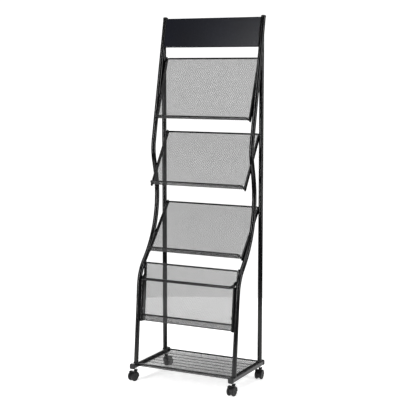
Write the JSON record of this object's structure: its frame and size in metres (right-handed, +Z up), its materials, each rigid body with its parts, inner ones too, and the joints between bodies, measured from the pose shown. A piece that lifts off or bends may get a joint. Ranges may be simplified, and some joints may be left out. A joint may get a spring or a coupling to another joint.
{
  "type": "newspaper rack",
  "caption": "Mobile newspaper and magazine rack: S-bent tube frame with sloped mesh shelves, a guarded mesh bin, a mesh base tray, a header sign panel and swivel casters.",
  "frame": {"origin": "on the floor under the middle of the rack's footprint", "axes": "+Z up, the rack's front faces -Y, +X to the right as seen from the front"},
  "size_m": [0.4882, 0.3148, 1.4927],
  "materials": {
    "tube_paint": "gloss black powder coat",
    "wire_paint": "gloss black powder coat",
    "mesh": "black painted fine mesh",
    "sign_paint": "satin blue-black",
    "cap_plastic": "moulded black",
    "bolt_steel": "dark zinc",
    "bright_steel": "bright plated",
    "caster_plastic": "moulded charcoal",
    "wheel_plastic": "moulded charcoal"
  },
  "bodies": {
    "frame": {"base_front_rod": "wire_paint", "base_mesh": "mesh", "base_rear_rod": "wire_paint", "bin_guard_bar": "wire_paint", "bin_left_bracket": "wire_paint", "bin_left_leg": "wire_paint", "bin_leg_bolts": "bolt_steel", "bin_mesh": "mesh", "bin_right_bracket": "wire_paint", "bin_right_leg": "wire_paint", "bin_rim_rod": "wire_paint", "bin_top_wire": "wire_paint", "caster_front_left_stem": "bright_steel", "caster_front_right_stem": "bright_steel", "caster_rear_left_stem": "bright_steel", "caster_rear_right_stem": "bright_steel", "left_base_rail": "tube_paint", "left_front_post": "tube_paint", "left_rear_post": "tube_paint", "post_caps": "cap_plastic", "rail_end_caps": "cap_plastic", "right_base_rail": "tube_paint", "right_front_post": "tube_paint", "right_rear_post": "tube_paint", "shelf_1_left_bar": "wire_paint", "shelf_1_mesh": "mesh", "shelf_1_right_bar": "wire_paint", "shelf_1_rim_wire": "wire_paint", "shelf_1_top_wire": "wire_paint", "shelf_2_left_bar": "wire_paint", "shelf_2_mesh": "mesh", "shelf_2_right_bar": "wire_paint", "shelf_2_rim_wire": "wire_paint", "shelf_2_top_wire": "wire_paint", "shelf_3_left_bar": "wire_paint", "shelf_3_mesh": "mesh", "shelf_3_right_bar": "wire_paint", "shelf_3_rim_wire": "wire_paint", "shelf_3_top_wire": "wire_paint", "shelf_front_bolts": "bolt_steel", "shelf_rear_bolts": "bolt_steel", "sign_panel": "sign_paint"},
    "front_left_swivel": {"caster_front_left_hood": "caster_plastic", "caster_front_left_axle": "bright_steel"},
    "front_left_wheel_a": {"caster_front_left_wheel_a": "wheel_plastic"},
    "front_left_wheel_b": {"caster_front_left_wheel_b": "wheel_plastic"},
    "front_right_swivel": {"caster_front_right_hood": "caster_plastic", "caster_front_right_axle": "bright_steel"},
    "front_right_wheel_a": {"caster_front_right_wheel_a": "wheel_plastic"},
    "front_right_wheel_b": {"caster_front_right_wheel_b": "wheel_plastic"},
    "rear_left_swivel": {"caster_rear_left_hood": "caster_plastic", "caster_rear_left_axle": "bright_steel"},
    "rear_left_wheel_a": {"caster_rear_left_wheel_a": "wheel_plastic"},
    "rear_left_wheel_b": {"caster_rear_left_wheel_b": "wheel_plastic"},
    "rear_right_swivel": {"caster_rear_right_hood": "caster_plastic", "caster_rear_right_axle": "bright_steel"},
    "rear_right_wheel_a": {"caster_rear_right_wheel_a": "wheel_plastic"},
    "rear_right_wheel_b": {"caster_rear_right_wheel_b": "wheel_plastic"}
  },
  "joints": [
    {"name": "front_left_swivel", "type": "hinge", "parent": "frame", "child": "front_left_swivel", "pos_m": [-0.224, -0.118, 0.046], "axis": [0, 0, 1], "continuous": true},
    {"name": "front_left_wheel_a_spin", "type": "hinge", "parent": "front_left_swivel", "child": "front_left_wheel_a", "pos_m": [-0.23767, -0.13108, 0.019], "axis": [0.9703, -0.2419, 0], "continuous": true},
    {"name": "front_left_wheel_b_spin", "type": "hinge", "parent": "front_left_swivel", "child": "front_left_wheel_b", "pos_m": [-0.21807, -0.13597, 0.019], "axis": [0.9703, -0.2419, 0], "continuous": true},
    {"name": "front_right_swivel", "type": "hinge", "parent": "frame", "child": "front_right_swivel", "pos_m": [0.224, -0.118, 0.046], "axis": [0, 0, 1], "continuous": true},
    {"name": "front_right_wheel_a_spin", "type": "hinge", "parent": "front_right_swivel", "child": "front_right_wheel_a", "pos_m": [0.21281, -0.13326, 0.019], "axis": [0.9976, -0.0698, 0], "continuous": true},
    {"name": "front_right_wheel_b_spin", "type": "hinge", "parent": "front_right_swivel", "child": "front_right_wheel_b", "pos_m": [0.23296, -0.13467, 0.019], "axis": [0.9976, -0.0698, 0], "continuous": true},
    {"name": "rear_left_swivel", "type": "hinge", "parent": "frame", "child": "rear_left_swivel", "pos_m": [-0.224, 0.142, 0.046], "axis": [0, 0, 1], "continuous": true},
    {"name": "rear_left_wheel_a_spin", "type": "hinge", "parent": "rear_left_swivel", "child": "rear_left_wheel_a", "pos_m": [-0.21519, 0.12525, 0.019], "axis": [0.5, 0.866, 0], "continuous": true},
    {"name": "rear_left_wheel_b_spin", "type": "hinge", "parent": "rear_left_swivel", "child": "rear_left_wheel_b", "pos_m": [-0.20509, 0.14275, 0.019], "axis": [0.5, 0.866, 0], "continuous": true},
    {"name": "rear_right_swivel", "type": "hinge", "parent": "frame", "child": "rear_right_swivel", "pos_m": [0.224, 0.142, 0.046], "axis": [0, 0, 1], "continuous": true},
    {"name": "rear_right_wheel_a_spin", "type": "hinge", "parent": "rear_right_swivel", "child": "rear_right_wheel_a", "pos_m": [0.21519, 0.12526, 0.019], "axis": [0.9969, 0.0785, 0], "continuous": true},
    {"name": "rear_right_wheel_b_spin", "type": "hinge", "parent": "rear_right_swivel", "child": "rear_right_wheel_b", "pos_m": [0.23532, 0.12684, 0.019], "axis": [0.9969, 0.0785, 0], "continuous": true}
  ]
}
